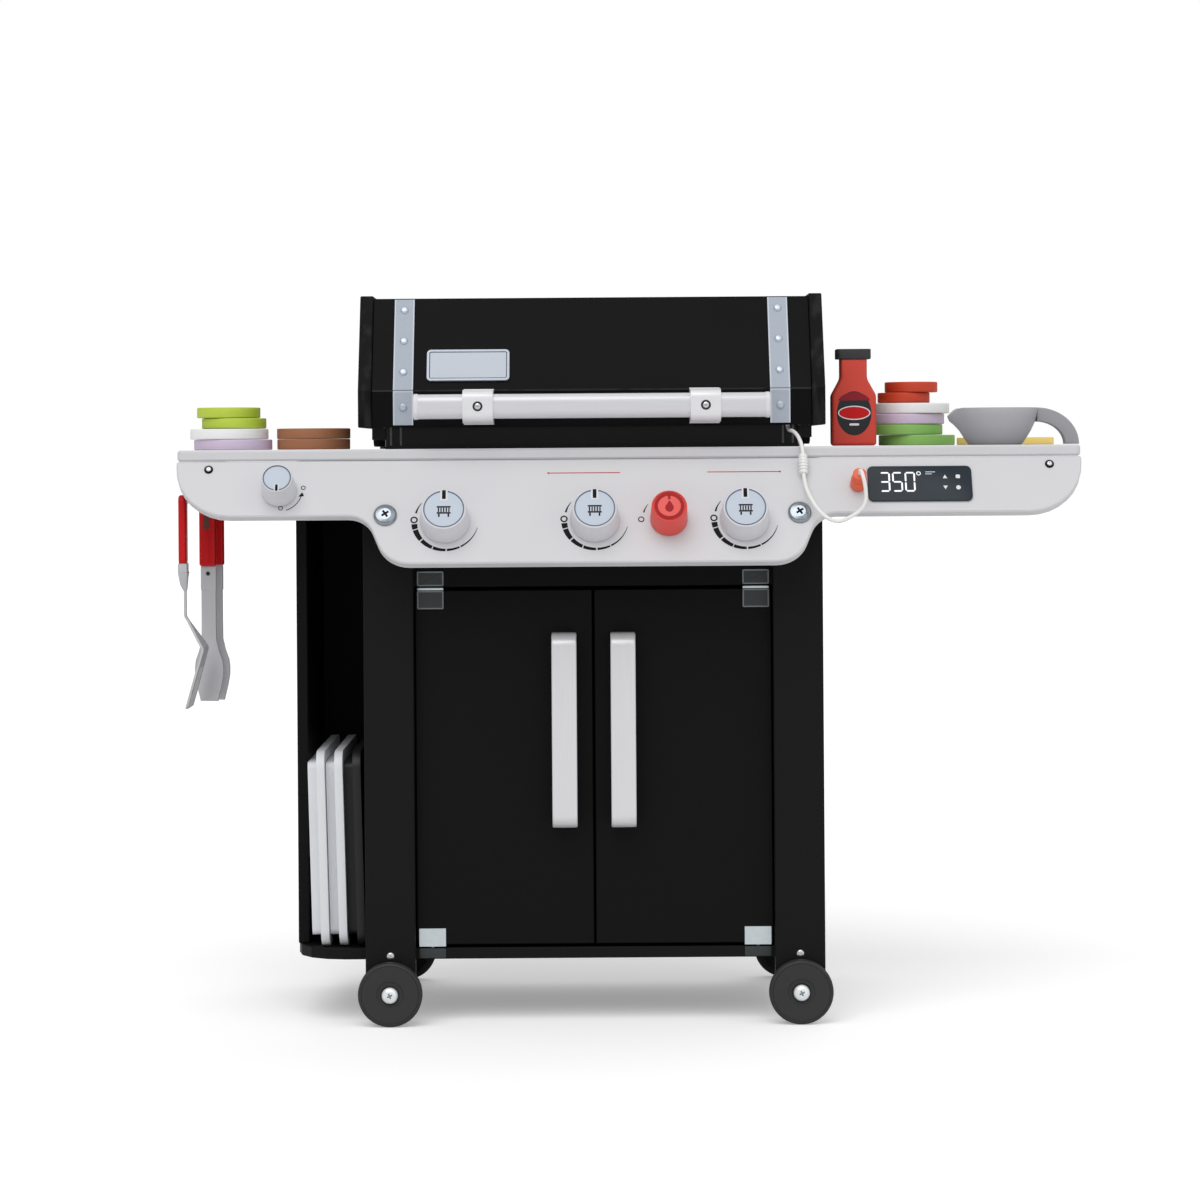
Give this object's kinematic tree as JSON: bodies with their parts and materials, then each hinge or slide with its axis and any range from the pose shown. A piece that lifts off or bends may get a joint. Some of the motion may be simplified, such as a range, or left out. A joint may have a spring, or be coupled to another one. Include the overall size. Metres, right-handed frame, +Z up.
{
  "type": "toy barbecue grill",
  "caption": "Toy barbecue grill on wheels: board cabinet with doors, sloping knob panel, side tables, hinged lid over a firebox, hanging tools, trays, bowl, bottle and play food.",
  "frame": {"origin": "middle of the overall footprint, on the floor under the wheels", "axes": "+X to the viewer's right along the tables, +Y to the rear, +Z up; the knobs and doors face -Y"},
  "size_m": [0.8151, 0.3467, 0.6585],
  "materials": {
    "black_board": "painted board, satin",
    "white_board": "painted board, satin",
    "black_metal": "black paint",
    "zinc_steel": "plated steel",
    "strap_metal": "grey-blue paint",
    "silver_plastic": "silver",
    "hinge_steel": "folded sheet",
    "white_plastic": "moulded",
    "black_plastic": "moulded",
    "red_plastic": "moulded",
    "orange_plastic": "moulded",
    "screen_plastic": "gloss",
    "grey_plastic": "moulded",
    "red_wood": "painted",
    "bowl_plastic": "moulded",
    "yellow_wood": "painted",
    "brown_wood": "painted",
    "lilac_wood": "painted",
    "green_wood": "painted"
  },
  "bodies": {
    "cabinet": {"axle_left": "zinc_steel", "axle_right": "zinc_steel", "back_panel": "black_board", "bottom_shelf": "black_board", "control_panel": "white_board", "cooking_grate": "black_metal", "deck_board": "white_board", "display": "screen_plastic", "firebox": "black_metal", "leg_front_left": "black_board", "leg_front_right": "black_board", "leg_rear_left": "black_board", "leg_rear_right": "black_board", "panel_batten": "black_board", "probe": "zinc_steel", "probe_cord": "white_plastic", "probe_plug": "orange_plastic", "rack_wall": "black_board", "side_panel_left": "black_board", "side_panel_right": "black_board", "tool_hooks": "zinc_steel", "top_rail": "black_board"},
    "lid": {"lid_side_left": "black_board", "lid_side_right": "black_board", "lid_front_lower": "black_board", "lid_front_upper": "black_board", "lid_top": "black_board", "lid_back": "black_board", "lid_strap_left": "strap_metal", "lid_strap_right": "strap_metal", "lid_badge": "silver_plastic", "lid_handle": "silver_plastic"},
    "door_l": {"door_left": "black_board", "hinge_top_left": "hinge_steel", "hinge_bottom_left": "hinge_steel", "door_pull_left": "silver_plastic"},
    "door_r": {"door_right": "black_board", "hinge_top_right": "hinge_steel", "hinge_bottom_right": "hinge_steel", "door_pull_right": "silver_plastic"},
    "wheel_fl": {"wheel_front_left": "black_plastic"},
    "wheel_fr": {"wheel_front_right": "black_plastic"},
    "wheel_rl": {"wheel_rear_left": "black_plastic"},
    "wheel_rr": {"wheel_rear_right": "black_plastic"},
    "dial_left": {"knob_left": "white_plastic"},
    "dial_centre": {"knob_centre": "white_plastic"},
    "dial_right": {"knob_right": "white_plastic"},
    "dial_ignition": {"ignition_knob": "red_plastic"},
    "dial_side": {"side_knob": "white_plastic"},
    "spatula_body": {"spatula": "red_plastic"},
    "tongs_body": {"tongs": "grey_plastic"},
    "bottle_body": {"sauce_bottle": "red_wood"},
    "bowl_body": {"bowl": "bowl_plastic"},
    "cheese_body": {"cheese_slice": "yellow_wood"},
    "patties_body": {"patty_stack": "brown_wood"},
    "vegetables_left": {"vegetable_stack_left": "lilac_wood"},
    "vegetables_right": {"vegetable_stack_right": "green_wood"},
    "tray_one": {"tray_1": "white_plastic"},
    "tray_two": {"tray_2": "white_plastic"},
    "tray_three": {"tray_3": "black_plastic"}
  },
  "joints": [
    {"name": "lid_hinge", "type": "hinge", "parent": "cabinet", "child": "lid", "pos_m": [-0.033, 0.12569, 0.531], "axis": [-1, 0, 0], "range_deg": [0, 88]},
    {"name": "door_left_hinge", "type": "hinge", "parent": "cabinet", "child": "door_l", "pos_m": [-0.18, -0.08201, 0], "axis": [0, 0, -1], "range_deg": [0, 105]},
    {"name": "door_right_hinge", "type": "hinge", "parent": "cabinet", "child": "door_r", "pos_m": [0.114, -0.08201, 0], "axis": [0, 0, 1], "range_deg": [0, 105]},
    {"name": "wheel_front_left_spin", "type": "hinge", "parent": "cabinet", "child": "wheel_fl", "pos_m": [-0.2175, -0.10731, 0.029], "axis": [0, 1, 0], "continuous": true},
    {"name": "wheel_front_right_spin", "type": "hinge", "parent": "cabinet", "child": "wheel_fr", "pos_m": [0.1515, -0.10731, 0.029], "axis": [0, 1, 0], "continuous": true},
    {"name": "wheel_rear_left_spin", "type": "hinge", "parent": "cabinet", "child": "wheel_rl", "pos_m": [-0.2175, 0.16429, 0.029], "axis": [0, 1, 0], "continuous": true},
    {"name": "wheel_rear_right_spin", "type": "hinge", "parent": "cabinet", "child": "wheel_rr", "pos_m": [0.1515, 0.16429, 0.029], "axis": [0, 1, 0], "continuous": true},
    {"name": "knob_left_turn", "type": "hinge", "parent": "cabinet", "child": "dial_left", "pos_m": [-0.164, -0.14295, 0.45434], "axis": [0, 0.8829, -0.4695], "range_deg": [0, 225]},
    {"name": "knob_centre_turn", "type": "hinge", "parent": "cabinet", "child": "dial_centre", "pos_m": [-0.031, -0.14295, 0.45434], "axis": [0, 0.8829, -0.4695], "range_deg": [0, 225]},
    {"name": "knob_right_turn", "type": "hinge", "parent": "cabinet", "child": "dial_right", "pos_m": [0.102, -0.14295, 0.45434], "axis": [0, 0.8829, -0.4695], "range_deg": [0, 225]},
    {"name": "ignition_knob_turn", "type": "hinge", "parent": "cabinet", "child": "dial_ignition", "pos_m": [0.0347, -0.14295, 0.45434], "axis": [0, 0.8829, -0.4695], "range_deg": [0, 90]},
    {"name": "side_knob_turn", "type": "hinge", "parent": "cabinet", "child": "dial_side", "pos_m": [-0.312, -0.12839, 0.48171], "axis": [0, 0.8829, -0.4695], "range_deg": [0, 90]},
    {"name": "spatula_swing", "type": "hinge", "parent": "cabinet", "child": "spatula_body", "pos_m": [-0.4016, -0.09931, 0.4725], "axis": [-1, 0, 0], "range_deg": [0, 20]},
    {"name": "tongs_swing", "type": "hinge", "parent": "cabinet", "child": "tongs_body", "pos_m": [-0.3805, -0.05731, 0.4905], "axis": [0.9703, -0.2419, 0], "range_deg": [0, 20]},
    {"name": "sauce_bottle_lift", "type": "slide", "parent": "cabinet", "child": "bottle_body", "axis": [0, 0, 1], "range_m": [0, 0.06]},
    {"name": "bowl_lift", "type": "slide", "parent": "cabinet", "child": "bowl_body", "axis": [0, 0, 1], "range_m": [0, 0.06]},
    {"name": "cheese_slice_lift", "type": "slide", "parent": "cabinet", "child": "cheese_body", "axis": [0, 0, 1], "range_m": [0, 0.06]},
    {"name": "patty_stack_lift", "type": "slide", "parent": "cabinet", "child": "patties_body", "axis": [0, 0, 1], "range_m": [0, 0.06]},
    {"name": "vegetable_stack_left_lift", "type": "slide", "parent": "cabinet", "child": "vegetables_left", "axis": [0, 0, 1], "range_m": [0, 0.06]},
    {"name": "vegetable_stack_right_lift", "type": "slide", "parent": "cabinet", "child": "vegetables_right", "axis": [0, 0, 1], "range_m": [0, 0.06]},
    {"name": "tray_1_slide", "type": "slide", "parent": "cabinet", "child": "tray_one", "axis": [0, -1, 0], "range_m": [0, 0.15]},
    {"name": "tray_2_slide", "type": "slide", "parent": "cabinet", "child": "tray_two", "axis": [0, -1, 0], "range_m": [0, 0.15]},
    {"name": "tray_3_slide", "type": "slide", "parent": "cabinet", "child": "tray_three", "axis": [0, -1, 0], "range_m": [0, 0.15]}
  ]
}
